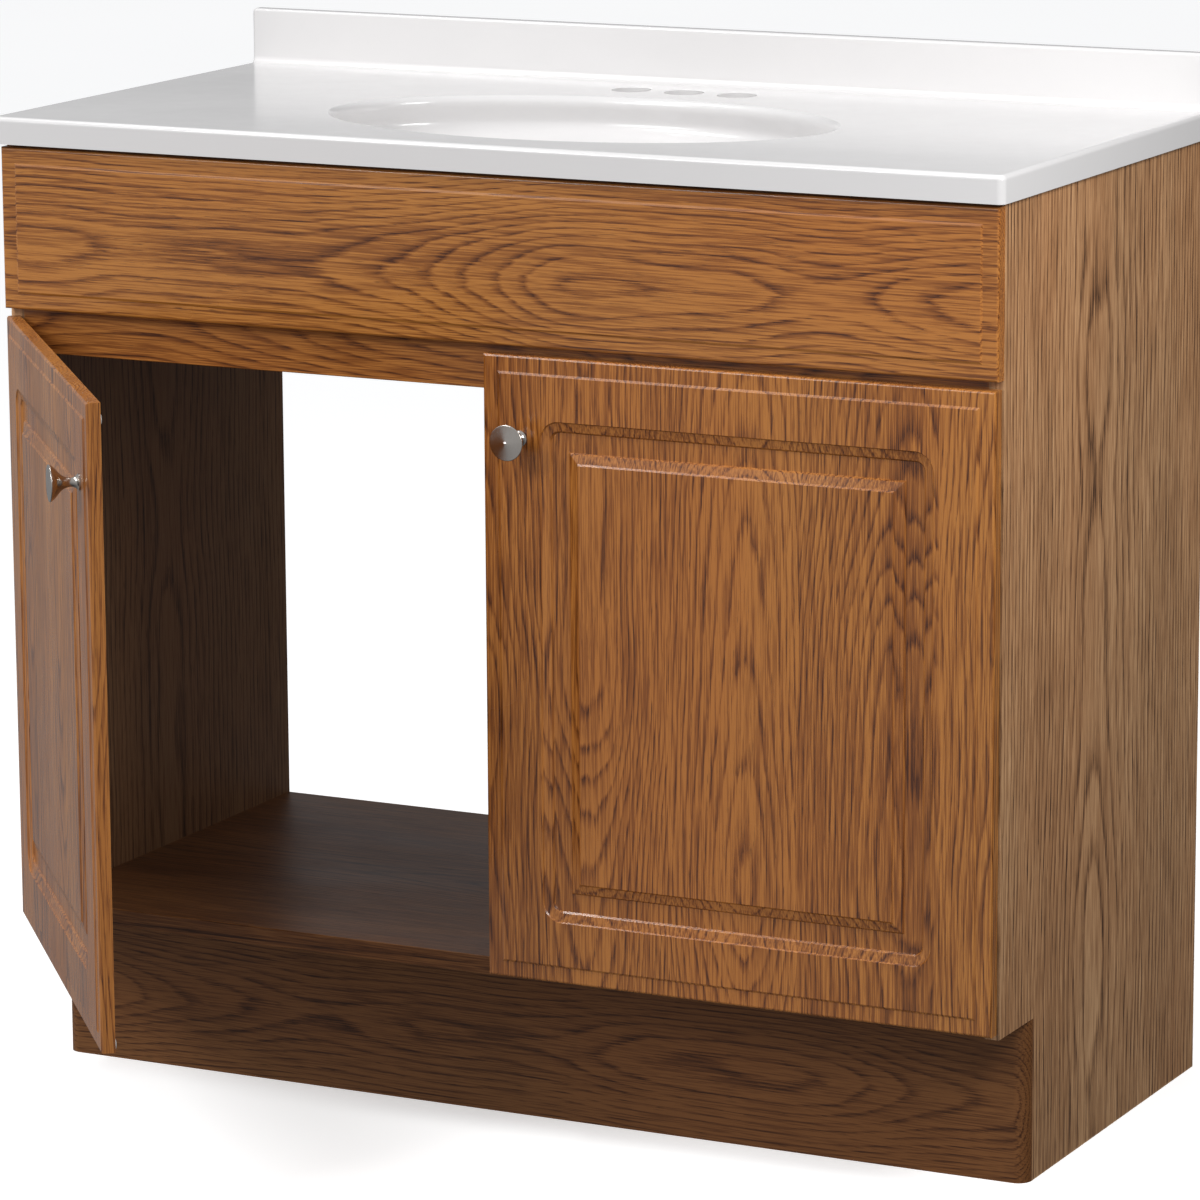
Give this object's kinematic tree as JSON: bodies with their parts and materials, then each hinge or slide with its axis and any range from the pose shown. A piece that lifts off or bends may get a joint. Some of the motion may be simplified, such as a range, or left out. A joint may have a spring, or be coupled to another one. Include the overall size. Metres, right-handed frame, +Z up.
{
  "type": "bathroom vanity cabinet",
  "caption": "Bathroom vanity cabinet with a one-piece oval sink top, a false drawer front, overlay raised-panel doors on concealed hinges and a recessed toe kick.",
  "frame": {"origin": "on the floor, in the wall plane, on the cabinet's centre line", "axes": "+X towards the cabinet's right side seen from the front, +Y into the wall, +Z up"},
  "size_m": [0.9254, 0.7971, 0.887],
  "materials": {
    "cast_top": "gloss, cast stone look, off-white",
    "satin_nickel": "satin nickel plate",
    "hinge_steel": "bright nickel plate",
    "zinc_steel": "zinc plate",
    "white_plastic": "moulded, matte",
    "bumper_rubber": "soft clear grey",
    "dowel_beech": "bare fluted beech",
    "oak_front": "oak-look foil over routed board, satin",
    "oak_laminate": "oak-look laminate, low sheen",
    "raw_wood": "bare sawn softwood"
  },
  "bodies": {
    "case": {"back_rail": "oak_laminate", "bottom_shelf": "oak_laminate", "cam_bolts": "zinc_steel", "cam_locks": "zinc_steel", "corner_block_screws": "zinc_steel", "dowels": "dowel_beech", "drawer_front": "oak_front", "drawer_front_screws": "zinc_steel", "front_rail": "oak_laminate", "front_stretcher": "oak_laminate", "left_arm_screws": "zinc_steel", "left_front_corner_block": "white_plastic", "left_kick_cleat": "raw_wood", "left_lower_hinge_arm": "hinge_steel", "left_rear_corner_block": "white_plastic", "left_side_panel": "oak_laminate", "left_upper_hinge_arm": "hinge_steel", "rear_base_rail": "oak_laminate", "right_arm_screws": "zinc_steel", "right_front_corner_block": "white_plastic", "right_kick_cleat": "raw_wood", "right_lower_hinge_arm": "hinge_steel", "right_rear_corner_block": "white_plastic", "right_side_panel": "oak_laminate", "right_upper_hinge_arm": "hinge_steel", "sink_top": "cast_top", "toe_kick_board": "oak_laminate"},
    "left_door": {"left_cup_screws": "zinc_steel", "left_door": "oak_front", "left_door_bumpers": "bumper_rubber", "left_knob": "satin_nickel", "left_knob_screw": "zinc_steel", "left_lower_hinge_cup": "hinge_steel", "left_lower_hinge_pin": "hinge_steel", "left_upper_hinge_cup": "hinge_steel", "left_upper_hinge_pin": "hinge_steel"},
    "right_door": {"right_cup_screws": "zinc_steel", "right_door": "oak_front", "right_door_bumpers": "bumper_rubber", "right_knob": "satin_nickel", "right_knob_screw": "zinc_steel", "right_lower_hinge_cup": "hinge_steel", "right_lower_hinge_pin": "hinge_steel", "right_upper_hinge_cup": "hinge_steel", "right_upper_hinge_pin": "hinge_steel"}
  },
  "joints": [
    {"name": "left_door_hinge", "type": "hinge", "parent": "case", "child": "left_door", "pos_m": [-0.4513, -0.4493, 0.4046], "axis": [0, 0, -1], "range_deg": [-50, 48]},
    {"name": "right_door_hinge", "type": "hinge", "parent": "case", "child": "right_door", "pos_m": [0.4513, -0.4493, 0.4046], "axis": [0, 0, 1], "range_deg": [0, 98]}
  ]
}
